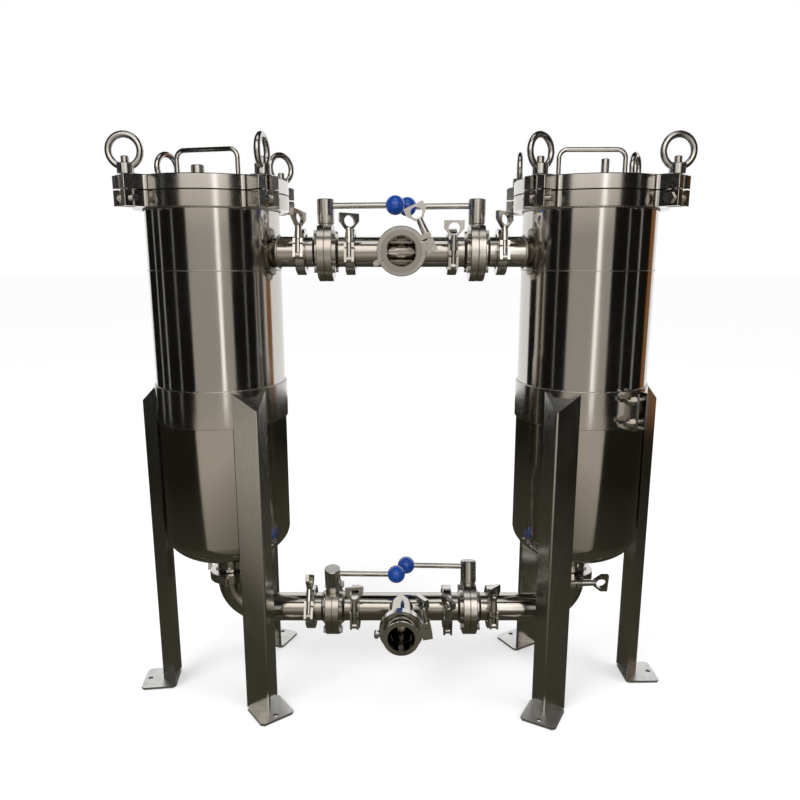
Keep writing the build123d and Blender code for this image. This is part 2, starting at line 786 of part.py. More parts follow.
def make_tee(height):
    """Equal tee with three ferrules, the branch to the front."""
    half = inner_joint_x - seat_face
    run = header_place(1, 0, height)
    branch = branch_place(height)
    with BuildPart() as tee:
        turned(run, [(0, -half)] + ferrule_points(-half, 1) + ferrule_points(half, -1)[::-1] + [(0, half)])
        turned(branch, [(0, 0), (tube_radius, 0)] + ferrule_points(half, -1)[::-1] + [(0, half)])
        rod(run, -half, half, bore_radius, mode=Mode.SUBTRACT)
        rod(branch, 0, half, bore_radius, mode=Mode.SUBTRACT)
    return tee.part


def make_tee_end(height):
    """Short loose ferrule piece clamped to a tee's branch: the process connection."""
    start = inner_joint_x + seat_face
    with BuildPart() as spool:
        ferruled_pipe(branch_place(height), start, start + tee_end_length, ferrule_at_start=True)
    return spool.part


def make_ferrule_gaskets():
    """One gasket in each clamp joint."""
    with BuildPart() as gaskets:
        for place, _ in clamp_joints:
            with BuildSketch(place.offset(-seat_face)):
                Circle(ferrule_radius)
                Circle(bore_radius, mode=Mode.SUBTRACT)
            extrude(amount=ferrule_gasket)
    return gaskets.part


# ---------------------------------------------------------------- clamps
def clamp_ring(place):
    """Whole clamp ring with its V groove."""
    slope = tan(radians(ferrule_cone))
    rim = seat_face + ferrule_rim + sliding_gap
    lip = rim + (ferrule_radius - clamp_lip_radius) * slope
    groove = ferrule_radius + sliding_gap
    turned(
        place,
        [
            (clamp_lip_radius, clamp_half_width),
            (clamp_radius - 1, clamp_half_width),
            (clamp_radius, clamp_half_width - 1),
            (clamp_radius, 1 - clamp_half_width),
            (clamp_radius - 1, -clamp_half_width),
            (clamp_lip_radius, -clamp_half_width),
            (clamp_lip_radius, -lip),
            (groove, -rim),
            (groove, rim),
            (clamp_lip_radius, lip),
        ],
    )


def clamp_half(place, nut_side):
    """One clamp half. The nut side (1) is slotted for the bolt, the other (-1) holds its pivot."""
    reach = clamp_bolt_reach + clamp_bolt_radius + 3
    fork_gap = clamp_bolt_radius + sliding_gap
    low = clamp_split
    high = clamp_lug_height if nut_side > 0 else clamp_pivot_drop + 2 * clamp_pin_radius
    knuckle = clamp_half_width / 3
    hinge = seat(place, (-clamp_hinge_reach, 0, 0))
    with BuildPart() as half:
        clamp_ring(place)
        far_side = seat(place, (0, nut_side * (low - 2 * clamp_radius), 0), normal=(0, nut_side, 0))
        with BuildSketch(far_side):
            Rectangle(4 * clamp_radius, 4 * clamp_half_width)
        extrude(amount=2 * clamp_radius, mode=Mode.SUBTRACT)
        lug_x = (clamp_radius - 4 + reach) / 2
        prism(
            place,
            -clamp_half_width,
            clamp_half_width,
            reach - clamp_radius + 4,
            high - low,
            centre=(lug_x, nut_side * (low + high) / 2),
        )
        prism(
            place,
            -fork_gap,
            fork_gap,
            reach - clamp_radius,
            2 * high,
            centre=(clamp_radius + 1 + (reach - clamp_radius) / 2, nut_side * (low + high)),
            mode=Mode.SUBTRACT,
        )
        arm = (clamp_hinge_reach - clamp_radius + 5) / 2
        if nut_side > 0:
            inner = knuckle + sliding_gap / 2
            spans = [(inner, clamp_half_width), (-clamp_half_width, -inner)]
        else:
            spans = [(-knuckle + sliding_gap / 2, knuckle - sliding_gap / 2)]
        for bottom, top in spans:
            rod(hinge, bottom, top, clamp_hinge_radius)
            prism(
                place,
                bottom,
                top,
                2 * arm,
                clamp_hinge_radius,
                centre=(-clamp_hinge_reach + arm, nut_side * clamp_hinge_radius / 2),
            )
        rod(hinge, -clamp_half_width, clamp_half_width, clamp_pin_radius + running_gap, mode=Mode.SUBTRACT)
        if nut_side < 0:
            pin = seat(place, (clamp_bolt_reach, -clamp_pivot_drop, 0))
            past = 2 * clamp_half_width
            rod(pin, -past, past, clamp_pin_radius + running_gap, mode=Mode.SUBTRACT)
    return half.part


def make_clamp_halves():
    """The two halves of every clamp."""
    with BuildPart() as halves:
        for place, _ in clamp_joints:
            for nut_side in (1, -1):
                add(clamp_half(place, nut_side))
    return halves.part


def make_clamp_bolts():
    """Swing bolts, their pivot pins and the hinge pins of every clamp."""
    bolt_top = clamp_lug_height + wing_shank_length / 2
    with BuildPart() as bolts:
        for place, _ in clamp_joints:
            eye = seat(place, (clamp_bolt_reach, -clamp_pivot_drop, 0))
            along = seat(place, (clamp_bolt_reach, 0, 0), normal=(0, 1, 0), across=(1, 0, 0))
            rod(eye, -clamp_eye_half_width, clamp_eye_half_width, clamp_bolt_radius + 1.5)
            rod(along, -clamp_pivot_drop, bolt_top, clamp_bolt_radius)
            rod(eye, -clamp_half_width, clamp_half_width, clamp_pin_radius)
            hinge = seat(place, (-clamp_hinge_reach, 0, 0))
            rod(hinge, -clamp_half_width, clamp_half_width, clamp_pin_radius)
    return bolts.part


def make_wing_nuts():
    """Clamp wing nuts: a round shank with a flat pierced head."""
    bottom = clamp_lug_height + running_gap
    shank_top = bottom + wing_shank_length
    head_top = shank_top + wing_head_height
    hole_z = shank_top + wing_head_height / 2
    with BuildPart() as nuts:
        for place, turn in clamp_joints:
            spin = radians(turn)
            along = seat(
                place, (clamp_bolt_reach, 0, 0), normal=(0, 1, 0), across=(sin(spin), 0, cos(spin))
            )
            turned(
                along,
                [
                    (clamp_bolt_radius + running_gap, bottom),
                    (wing_shank_radius, bottom),
                    (wing_shank_radius - 1, shank_top + 2),
                    (0, shank_top + 2),
                    (0, bottom + wing_shank_length / 2 + 1),
                    (clamp_bolt_radius + running_gap, bottom + wing_shank_length / 2 + 1),
                ],
            )
            flat = seat(along, normal=(0, 1, 0), across=(1, 0, 0))
            with BuildSketch(flat.offset(-wing_head_thickness / 2)):
                with BuildLine():
                    Polyline(
                        (-wing_shank_radius + 1, -shank_top + 1),
                        (-wing_head_width / 2, -hole_z),
                        (-wing_head_width / 2, -head_top),
                        (wing_head_width / 2, -head_top),
                        (wing_head_width / 2, -hole_z),
                        (wing_shank_radius - 1, -shank_top + 1),
                        close=True,
                    )
                make_face()
                with Locations((0, -hole_z)):
                    Circle(wing_hole_radius, mode=Mode.SUBTRACT)
            extrude(amount=wing_head_thickness)
    return nuts.part


# ---------------------------------------------------------------- butterfly valves
def valve_place(name):
    """A valve's own frame: x along the pipe, z up the stem, at the disc's centre."""
    side_sign, height, lean, _ = valves[name]
    tilt = radians(lean)
    return Plane(
        origin=(middle_x + side_sign * valve_centre_x, middle_y, height),
        x_dir=(1, 0, 0),
        z_dir=(0, sin(tilt), cos(tilt)),
    )


def lever_place(name):
    """A valve's frame turned so that x points along its lever."""
    place = valve_place(name)
    turn = radians(valves[name][3])
    return seat(place, across=(cos(turn), sin(turn), 0))


def make_valve_body(name, way):
    """Half of a valve body, on the +1 or -1 side of the disc."""
    place = valve_place(name)
    pipe = seat(place, normal=(way, 0, 0), across=(0, 1, 0))
    face = face_to_face / 2 - seat_face
    outline = [
        (bore_radius, valve_split),
        (valve_radius - 1, valve_split),
        (valve_radius, valve_split + 1),
        (valve_radius, valve_half_width - 1),
        (valve_radius - 1, valve_half_width),
        (valve_hub_radius, valve_half_width),
        (valve_hub_radius, valve_hub_length),
        (tube_radius, valve_hub_length + valve_hub_radius - tube_radius),
    ]
    with BuildPart() as half:
        turned(pipe, outline + ferrule_points(face, -1)[::-1] + [(bore_radius, face)])
        prism(place, valve_flat_z, 2 * valve_radius, 2 * valve_radius, 2 * valve_radius, mode=Mode.SUBTRACT)
        rod(place, tube_radius, valve_neck_top, valve_neck_radius)
        prism(
            place,
            -valve_radius,
            2 * valve_radius,
            2 * valve_radius,
            4 * valve_radius,
            centre=(way * (valve_split - valve_radius), 0),
            mode=Mode.SUBTRACT,
        )
        rod(pipe, 0, seat_half_width + weld_gap, seat_radius + weld_gap, mode=Mode.SUBTRACT)
        rod(place, stem_bottom - 1, valve_radius, stem_radius + running_gap, mode=Mode.SUBTRACT)
        with BuildSketch(pipe.offset(-valve_half_width)):
            with PolarLocations(valve_bolt_circle, 4, start_angle=45):
                Circle(valve_bolt_radius + sliding_gap)
        extrude(amount=3 * valve_half_width, mode=Mode.SUBTRACT)
    return half.part


def make_valve_bodies():
    """Both halves of every valve body."""
    with BuildPart() as bodies:
        for name in valves:
            for way in (1, -1):
                add(make_valve_body(name, way))
    return bodies.part


def make_valve_seats():
    """Rubber seat ring of every valve."""
    with BuildPart() as seats:
        for name in valves:
            place = valve_place(name)
            pipe = seat(place, normal=(1, 0, 0), across=(0, 1, 0))
            turned(
                pipe,
                [
                    (bore_radius, -seat_half_width),
                    (seat_radius, -seat_half_width),
                    (seat_radius, seat_half_width),
                    (bore_radius, seat_half_width),
                ],
            )
            rod(place, stem_bottom - 1, valve_radius, stem_radius + running_gap, mode=Mode.SUBTRACT)
    return seats.part


def make_valve_bolts():
    """Four hexagon bolts and nuts round every valve body."""
    with BuildPart() as bolts:
        for name in valves:
            pipe = seat(valve_place(name), normal=(1, 0, 0), across=(0, 1, 0))
            for turn in (45, 135, 225, 315):
                spin = radians(turn)
                at = (valve_bolt_circle * cos(spin), valve_bolt_circle * sin(spin), 0)
                axis = seat(pipe, at)
                nut_end = -valve_half_width - valve_nut_thickness
                hexagon(axis, nut_end, -valve_half_width, valve_nut_flat)
                rod(axis, nut_end, -valve_half_width, valve_bolt_radius + running_gap, mode=Mode.SUBTRACT)
                rod(axis, nut_end, valve_half_width, valve_bolt_radius)
                hexagon(axis, valve_half_width, valve_half_width + valve_nut_thickness, valve_nut_flat)
    return bolts.part


def make_disc(name):
    """Valve disc in one with its stem, standing open along the pipe with the lever."""
    place = lever_place(name)
    with BuildPart() as disc:
        rod(seat(place, normal=(0, 1, 0)), -disc_thickness / 2, disc_thickness / 2, disc_radius)
        rod(place, stem_bottom, stem_top, stem_radius)
    return disc.part


def make_lever_hub(name):
    """Round cap on the stem that carries the lever rod."""
    place = lever_place(name)
    bottom = valve_neck_top + sliding_gap
    rod_axis = seat(place, (0, 0, lever_height), normal=(1, 0, 0), across=(0, 1, 0))
    with BuildPart() as hub:
        turned(
            place,
            [
                (0, bottom),
                (lever_hub_radius - 1, bottom),
                (lever_hub_radius, bottom + 1),
                (lever_hub_radius, lever_hub_top - 1),
                (lever_hub_radius - 1, lever_hub_top),
                (0, lever_hub_top),
            ],
        )
        rod(place, bottom - 1, stem_top + running_gap, stem_radius + running_gap, mode=Mode.SUBTRACT)
        rod(
            rod_axis,
            lever_rod_start - lever_rod_clearance,
            2 * lever_hub_radius,
            lever_rod_radius + running_gap,
            mode=Mode.SUBTRACT,
        )
    return hub.part


def make_lever_rod(name):
    """Pull rod, sliding in the hub and fixed in the knob."""
    rod_axis = seat(lever_place(name), (0, 0, lever_height), normal=(1, 0, 0), across=(0, 1, 0))
    with BuildPart() as lever:
        rod(rod_axis, lever_rod_start, lever_reach - knob_radius + knob_hole_depth, lever_rod_radius)
    return lever.part


def make_knob(name):
    """Ball knob."""
    centre = seat(lever_place(name), (0, 0, lever_height), normal=(1, 0, 0), across=(0, 1, 0))
    near = lever_reach - knob_radius
    with BuildPart() as knob:
        with BuildSketch(seat(centre, normal=(0, -1, 0))):
            with Locations((0, lever_reach)):
                Circle(knob_radius)
            with Locations((-knob_radius, lever_reach)):
                Rectangle(2 * knob_radius, 4 * knob_radius, mode=Mode.SUBTRACT)
            with Locations((0, near)):
                Rectangle(4 * knob_radius, 1, mode=Mode.SUBTRACT)
        revolve(axis=Axis(centre.origin, centre.z_dir))
        rod(
            centre,
            near - 1,
            near + knob_hole_depth + running_gap,
            lever_rod_radius + running_gap,
            mode=Mode.SUBTRACT,
        )
    return knob.part


# ---------------------------------------------------------------- build
def pair(maker):
    """One node of a left and a right piece."""
    with BuildPart() as both:
        for side in vessel_x:
            add(maker(side))
    return both.part


def make_legs():
    """Every leg with its top plate."""
    with BuildPart() as legs:
        for side, angles in leg_angles.items():
            for angle in angles:
                add(make_leg(side, angle))
                add(make_leg_cap(side, angle))
    return legs.part


def make_feet():
    """Every foot plate."""
    with BuildPart() as feet:
        for side, angles in leg_angles.items():
            for angle in angles:
                add(make_foot(side, angle))
    return feet.part


def make_tees():
    """Inlet tee and outlet tee."""
    with BuildPart() as tees:
        for height in (upper_axis_z, lower_axis_z):
            add(make_tee(height))
    return tees.part


def make_tee_ends():
    """The two process connections."""
    with BuildPart() as ends:
        for height in (upper_axis_z, lower_axis_z):
            add(make_tee_end(height))
    return ends.part


os.makedirs("parts", exist_ok=True)
for side in vessel_x:
    save(make_shell(side), f"vessel_shell_{side}")
    save(make_lid(side), f"lid_{side}")
    save(make_handle(side), f"lid_handle_{side}")
    save(make_vent_plug(side), f"vent_plug_{side}")
save(pair(make_flange), "vessel_flanges")
save(pair(make_gasket), "lid_gaskets")
save(pair(make_basket), "bag_baskets")
save(pair(make_bag), "filter_bags")
save(pair(make_band), "support_bands")
save(make_band_bolts(), "band_bolts")
save(make_pivot_pins(), "pivot_pins")
save(make_legs(), "legs")
save(make_feet(), "foot_plates")
save(make_nozzles(), "vessel_nozzles")
save(pair(make_elbow), "outlet_elbows")
save(make_tees(), "header_tees")
save(make_tee_ends(), "tee_end_ferrules")
save(make_ferrule_gaskets(), "ferrule_gaskets")
save(make_clamp_halves(), "clamp_halves")
save(make_clamp_bolts(), "clamp_bolts")
save(make_wing_nuts(), "clamp_wing_nuts")
save(make_valve_bodies(), "valve_bodies")
save(make_valve_seats(), "valve_seats")
save(make_valve_bolts(), "valve_bolts")
for side, corner, place, ring_turn in lugs:
    save(make_swing_bolt(place), f"swing_bolt_{side}_{corner}")
    save(make_eye_nut(place, ring_turn), f"eye_nut_{side}_{corner}")
for name in valves:
    save(make_disc(name), f"valve_disc_{name}")
    save(make_lever_hub(name), f"lever_hub_{name}")
    save(make_lever_rod(name), f"lever_rod_{name}")
    save(make_knob(name), f"lever_knob_{name}")
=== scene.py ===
"""Looks, light and camera for the twin bag filter housing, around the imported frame."""

import json
from math import cos, radians, sin, sqrt, tau

import bpy
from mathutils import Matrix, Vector


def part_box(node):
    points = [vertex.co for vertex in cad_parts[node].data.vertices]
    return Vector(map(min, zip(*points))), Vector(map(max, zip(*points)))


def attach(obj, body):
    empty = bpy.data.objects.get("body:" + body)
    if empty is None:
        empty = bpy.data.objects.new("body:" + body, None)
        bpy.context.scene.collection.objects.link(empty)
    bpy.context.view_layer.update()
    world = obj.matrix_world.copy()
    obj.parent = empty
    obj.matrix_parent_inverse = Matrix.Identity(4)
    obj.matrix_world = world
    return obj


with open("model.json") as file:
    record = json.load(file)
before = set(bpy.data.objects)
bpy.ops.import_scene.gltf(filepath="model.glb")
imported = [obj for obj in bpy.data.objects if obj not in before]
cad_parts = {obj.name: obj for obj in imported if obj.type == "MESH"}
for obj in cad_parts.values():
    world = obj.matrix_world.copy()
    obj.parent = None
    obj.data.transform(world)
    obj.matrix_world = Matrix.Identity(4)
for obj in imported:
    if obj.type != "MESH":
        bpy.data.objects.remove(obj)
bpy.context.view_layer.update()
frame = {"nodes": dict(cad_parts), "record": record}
nodes = frame["nodes"]
MM = 0.001
HOUSING = "housing"
SIDES = ("left", "right")


# ---------------------------------------------------------------- places read from the frame
def middle(node):
    """Centre of a CAD node's box."""
    low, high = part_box(node)
    return (low + high) / 2


shell = {side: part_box(f"vessel_shell_{side}") for side in SIDES}
vessel_axis = {side: middle(f"vessel_shell_{side}") for side in SIDES}
shell_radius = (shell["left"][1].x - shell["left"][0].x) / 2
centre = (vessel_axis["left"] + vessel_axis["right"]) / 2
inward = {"left": 1, "right": -1}
flange_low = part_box("vessel_flanges")[0]
band_low, band_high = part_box("support_bands")
tee_low, tee_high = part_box("header_tees")
ferrule_radius = tee_high.y - centre.y
tube_radius = 25.4 * MM
tube_centre = {"upper": tee_high.z - ferrule_radius, "lower": tee_low.z + ferrule_radius}


# ---------------------------------------------------------------- materials
class Nodes:
    """A material's node tree, with short calls to add nodes and links."""

    def __init__(self, name):
        self.material = bpy.data.materials.new(name)
        self.material.use_nodes = True
        self.tree = self.material.node_tree
        self.shader = self.tree.nodes["Principled BSDF"]
        self.place = self.add("ShaderNodeTexCoord").outputs["Object"]

    def add(self, kind, **settings):
        node = self.tree.nodes.new(kind)
        for key, value in settings.items():
            setattr(node, key, value)
        return node

    def link(self, output, target):
        self.tree.links.new(output, target)

    def scaled(self, scale):
        """The place, stretched by a scale along each axis."""
        mapping = self.add("ShaderNodeMapping")
        mapping.inputs["Scale"].default_value = scale
        self.link(self.place, mapping.inputs["Vector"])
        return mapping.outputs["Vector"]

    def noise(self, scale, stretch=(1, 1, 1), detail=4.0, roughness=0.6):
        """Noise between 0 and 1."""
        node = self.add("ShaderNodeTexNoise")
        node.inputs["Scale"].default_value = scale
        node.inputs["Detail"].default_value = detail
        node.inputs["Roughness"].default_value = roughness
        self.link(self.scaled(stretch), node.inputs["Vector"])
        return node.outputs["Fac"]

    def spread(self, value, low, high, from_low=0.3, from_high=0.7):
        """A value moved from one range to another."""
        node = self.add("ShaderNodeMapRange")
        limits = {"From Min": from_low, "From Max": from_high, "To Min": low, "To Max": high}
        for key, number in limits.items():
            node.inputs[key].default_value = number
        self.link(value, node.inputs["Value"])
        return node.outputs["Result"]

    def mixed(self, share, first, second):
        """A colour between two others."""
        node = self.add("ShaderNodeMix", data_type="RGBA")
        node.inputs[6].default_value = (*first, 1)
        node.inputs[7].default_value = (*second, 1)
        self.link(share, node.inputs["Factor"])
        return node.outputs[2]

    def bump(self, height, strength, distance, under=None):
        """A surface normal from a height."""
        node = self.add("ShaderNodeBump")
        node.inputs["Strength"].default_value = strength
        node.inputs["Distance"].default_value = distance
        self.link(height, node.inputs["Height"])
        if under is not None:
            self.link(under, node.inputs["Normal"])
        return node.outputs["Normal"]

    def circling_tangent(self):
        """The direction round a vertical axis, from the surface's own normal."""
        normal = self.add("ShaderNodeNewGeometry").outputs["Normal"]
        across = self.add("ShaderNodeVectorMath", operation="CROSS_PRODUCT")
        self.link(normal, across.inputs[0])
        across.inputs[1].default_value = (0.0, 0.0001, 1.0)
        return across.outputs["Vector"]


def darker(colour, share):
    return tuple(channel * share for channel in colour)


def steel(name, colour, roughness, grain=(1, 1, 1), grain_scale=60.0, bump=0.0, smudge=0.25, circling=0.0):
    """Stainless steel: hazy smudges, a fine grain stretched along one way, and its own roughness."""
    made = Nodes(name)
    shader = made.shader
    shader.inputs["Metallic"].default_value = 1.0
    haze = made.noise(7.0, detail=5.0)
    lines = made.noise(grain_scale, stretch=grain, detail=6.0, roughness=0.7)
    made.link(made.mixed(haze, darker(colour, 1 - smudge / 2), colour), shader.inputs["Base Color"])
    both = made.add("ShaderNodeMath", operation="ADD")
    made.link(made.spread(haze, -smudge, smudge), both.inputs[0])
    made.link(made.spread(lines, 1 - smudge, 1 + smudge), both.inputs[1])
    scaled = made.add("ShaderNodeMath", operation="MULTIPLY", use_clamp=True)
    made.link(both.outputs[0], scaled.inputs[0])
    scaled.inputs[1].default_value = roughness
    made.link(scaled.outputs[0], shader.inputs["Roughness"])
    if bump:
        made.link(made.bump(lines, bump, 0.0004), shader.inputs["Normal"])
    if circling:
        shader.inputs["Anisotropic"].default_value = circling
        made.link(made.circling_tangent(), shader.inputs["Tangent"])
    return made.material


def moulded(name, colour, roughness, coat=0.0, bump=0.02):
    """Moulded plastic or rubber with a faint orange-peel skin."""
    made = Nodes(name)
    skin = made.noise(400.0, detail=2.0)
    haze = made.noise(30.0, detail=3.0)
    made.link(made.mixed(haze, darker(colour, 0.86), colour), made.shader.inputs["Base Color"])
    made.link(made.spread(haze, roughness * 0.85, roughness * 1.25), made.shader.inputs["Roughness"])
    made.link(made.bump(skin, bump, 0.0005), made.shader.inputs["Normal"])
    made.shader.inputs["Coat Weight"].default_value = coat
    made.shader.inputs["Coat Roughness"].default_value = 0.06
    return made.material


def felt(name, colour):
    """Needled felt."""
    made = Nodes(name)
    fibres = made.noise(900.0, stretch=(1, 1, 0.3), detail=6.0)
    made.link(made.mixed(fibres, darker(colour, 0.8), colour), made.shader.inputs["Base Color"])
    made.link(made.bump(fibres, 0.6, 0.001), made.shader.inputs["Normal"])
    made.shader.inputs["Roughness"].default_value = 0.95
    made.shader.inputs["Sheen Weight"].default_value = 0.3
    return made.material


WARM = (0.62, 0.595, 0.555)
BRIGHT = (0.72, 0.705, 0.68)
GREY = (0.66, 0.655, 0.645)
OLIVE = (0.61, 0.6, 0.56)
ROUND_GRAIN = (1.0, 1.0, 28.0)      # lines round a vertical axis
UPRIGHT_GRAIN = (24.0, 24.0, 1.0)   # lines up and down
HEADER_GRAIN = (1.0, 24.0, 24.0)    # lines along the headers

materials = {
    "shell_steel": steel("shell_steel", WARM, 0.09, ROUND_GRAIN, 45, 0.05, 0.3, 0.7),
    "lid_steel": steel("lid_steel", BRIGHT, 0.17, ROUND_GRAIN, 70, 0.06, 0.3),
    "flange_steel": steel("flange_steel", WARM, 0.15, ROUND_GRAIN, 70, 0.06, 0.3),
    "handle_steel": steel("handle_steel", BRIGHT, 0.12, (1, 1, 1), 30, 0.01),
    "fitting_steel": steel("fitting_steel", BRIGHT, 0.2, UPRIGHT_GRAIN, 60, 0.05),
    "band_steel": steel("band_steel", WARM, 0.14, ROUND_GRAIN, 60, 0.06, 0.35, 0.5),
    "leg_steel": steel("leg_steel", OLIVE, 0.2, UPRIGHT_GRAIN, 30, 0.02, 0.3),
    "foot_steel": steel("foot_steel", (0.78, 0.78, 0.77), 0.4, (1, 1, 1), 80, 0.10, 0.3),
    "tube_steel": steel("tube_steel", WARM, 0.12, HEADER_GRAIN, 60, 0.03),
    "clamp_steel": steel("clamp_steel", BRIGHT, 0.17, (1, 1, 1), 110, 0.06),
    "nut_steel": steel("nut_steel", BRIGHT, 0.2, (1, 1, 1), 110, 0.07),
    "valve_steel": steel("valve_steel", WARM, 0.2, (1, 1, 1), 120, 0.06),
    "hub_steel": steel("hub_steel", WARM, 0.18, ROUND_GRAIN, 90, 0.08),
    "lever_steel": steel("lever_steel", BRIGHT, 0.13, HEADER_GRAIN, 60, 0.03),
    "swing_bolt_steel": steel("swing_bolt_steel", WARM, 0.2, ROUND_GRAIN, 90, 0.06),
    "eye_nut_steel": steel("eye_nut_steel", GREY, 0.18, (1, 1, 1), 60, 0.03),
    "basket_steel": steel("basket_steel", GREY, 0.3, (1, 1, 1), 90, 0.05),
    "fastener_steel": steel("fastener_steel", BRIGHT, 0.22, (1, 1, 1), 150, 0.08),
    "seal_rubber": moulded("seal_rubber", (0.03, 0.03, 0.03), 0.6, bump=0.1),
    "knob_plastic": moulded("knob_plastic", (0.006, 0.06, 0.35), 0.2, coat=0.5),
    "bag_felt": felt("bag_felt", (0.86, 0.85, 0.8)),
}
weld_steel = steel("weld_steel", BRIGHT, 0.3, (1, 1, 1), 500, 0.5, 0.4)


def dress_cad():
    """Give every CAD node the material of its slot."""
    slot_of = {row["node"]: row["material_slot"] for row in frame["record"]["subparts"]}
    for node, piece in nodes.items():
        piece.data.materials.clear()
        piece.data.materials.append(materials[slot_of[node]])


# ---------------------------------------------------------------- mesh helpers
def make_piece(name, points, faces, material, body=HOUSING, slot=None):
    """A mesh piece that rides on a body."""
    mesh = bpy.data.meshes.new(name)
    mesh.from_pydata(points, [], faces)
    mesh.polygons.foreach_set("use_smooth", [True] * len(mesh.polygons))
    mesh.materials.append(material)
    piece = bpy.data.objects.new(name, mesh)
    bpy.context.scene.collection.objects.link(piece)
    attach(piece, body)
    return piece


def bead_mesh(path, steps, radius, ripple_every=3, sides=8, closed=True):
    """Points and faces of a weld bead: a thin tube along a path, rippled along its length."""
    points, faces = [], []
    stations = [path(i / steps) for i in range(steps if closed else steps + 1)]
    count = len(stations)
    for i, here in enumerate(stations):
        after = stations[(i + 1) % count] if closed else stations[min(i + 1, count - 1)]
        before = stations[i - 1] if closed else stations[max(i - 1, 0)]
        along = (after - before).normalized()
        side = along.cross(Vector((0.31, 0.17, 0.93))).normalized()
        up = along.cross(side)
        swell = radius * (1 + 0.22 * cos(tau * i / ripple_every))
        for k in range(sides):
            turn = tau * k / sides
            points.append(here + swell * (cos(turn) * side + sin(turn) * up))
    for i in range(count if closed else count - 1):
        first, second = i * sides, ((i + 1) % count) * sides
        for k in range(sides):
            nxt = (k + 1) % sides
            faces.append((first + k, first + nxt, second + nxt, second + k))
    if not closed:
        faces.append(tuple(range(sides)))
        faces.append(tuple(reversed(range((count - 1) * sides, count * sides))))
    return points, faces


def joined(parts):
    """Several meshes' points and faces as one."""
    points, faces = [], []
    for some_points, some_faces in parts:
        start = len(points)
        points.extend(some_points)
        faces.extend(tuple(index + start for index in face) for face in some_faces)
    return points, faces


def level_ring(axis, radius, height):
    """A path round a vertical axis."""
    return lambda t: Vector((axis.x + radius * cos(tau * t), axis.y + radius * sin(tau * t), height))


def saddle(axis, way, height, pipe_radius, drum_radius):
    """A path where a pipe along X meets an upright drum."""

    def at(t):
        across = pipe_radius * cos(tau * t)
        depth = sqrt(drum_radius**2 - across**2)
        return Vector((axis.x + way * depth, axis.y + across, height + pipe_radius * sin(tau * t)))

    return at


# ---------------------------------------------------------------- welds
SEAM_Z = 764.7 * MM
SEAM_BEAD = 0.7 * MM            # radii of the beads
COLLAR_BEAD = 1.8 * MM
STUB_BEAD = 1.9 * MM
EDGE_BEAD = 0.9 * MM
BEAD_PROUD = 0.6 * MM           # middle of a bead beyond the wall that it lies on
EDGE_BEAD_PROUD = 1.6 * MM


def make_welds():
    """Weld beads of both vessels, one piece for each kind."""
    seams, collars, stubs, edges = [], [], [], []
    for side in SIDES:
        axis = vessel_axis[side]
        seams.append(bead_mesh(level_ring(axis, shell_radius, SEAM_Z), 480, SEAM_BEAD))
        collar = level_ring(axis, shell_radius + BEAD_PROUD, flange_low.z)
        collars.append(bead_mesh(collar, 360, COLLAR_BEAD))
        way = inward[side]
        stub = saddle(axis, way, tube_centre["upper"], tube_radius + BEAD_PROUD, shell_radius)
        stubs.append(bead_mesh(stub, 160, STUB_BEAD))
        for height in (band_low.z, band_high.z):
            edge = level_ring(axis, shell_radius + EDGE_BEAD_PROUD, height)
            edges.append(bead_mesh(edge, 360, EDGE_BEAD, ripple_every=5))
    make_piece("shell_seam_welds", *joined(seams), weld_steel, slot="shell_steel")
    make_piece("flange_welds", *joined(collars), weld_steel, slot="flange_steel")
    make_piece("inlet_stub_welds", *joined(stubs), weld_steel, slot="tube_steel")
    make_piece("band_edge_welds", *joined(edges), weld_steel, slot="band_steel")


# ---------------------------------------------------------------- studio
CAMERA_AWAY = 1.1909
CAMERA_SIDE = -0.0022
CAMERA_HEIGHT = 0.7822
CAMERA_TILT = 78.45     # degrees from straight down
CAMERA_LENS = 30.93     # on a 36 mm sensor


def make_camera():
    data = bpy.data.cameras.new("camera")
    data.sensor_width = 36
    data.lens = CAMERA_LENS
    camera = bpy.data.objects.new("camera", data)
    camera.location = (centre.x + CAMERA_SIDE, centre.y - CAMERA_AWAY, CAMERA_HEIGHT)
    camera.rotation_euler = (radians(CAMERA_TILT), 0, 0)
    bpy.context.scene.collection.objects.link(camera)
    bpy.context.scene.camera = camera


def seen_ray(tree):
    """1 for a ray from the camera, from gloss or through glass, and 0 for any other."""
    rays = tree.nodes.new("ShaderNodeLightPath")
    total = rays.outputs["Is Camera Ray"]
    for extra in ("Is Glossy Ray", "Is Transmission Ray"):
        add = tree.nodes.new("ShaderNodeMath")
        add.operation = "MAXIMUM"
        tree.links.new(total, add.inputs[0])
        tree.links.new(rays.outputs[extra], add.inputs[1])
        total = add.outputs[0]
    return total


def make_world():
    """A white surround, a little dimmer as light than as background."""
    world = bpy.data.worlds.new("surround")
    world.use_nodes = True
    bpy.context.scene.world = world
    tree = world.node_tree
    background = tree.nodes["Background"]
    background.inputs["Color"].default_value = (1, 1, 1, 1)
    strength = tree.nodes.new("ShaderNodeMapRange")
    strength.inputs["To Min"].default_value = 0.75
    strength.inputs["To Max"].default_value = 1.0
    tree.links.new(seen_ray(tree), strength.inputs["Value"])
    tree.links.new(strength.outputs["Result"], background.inputs["Strength"])


def stage_piece(name, points, faces, material):
    mesh = bpy.data.meshes.new(name)
    mesh.from_pydata(points, [], faces)
    mesh.materials.append(material)
    piece = bpy.data.objects.new(name, mesh)
    bpy.context.scene.collection.objects.link(piece)
    return piece


FLOOR_GLOW = 0.36       # brings the lit floor up to white for the rays that see it


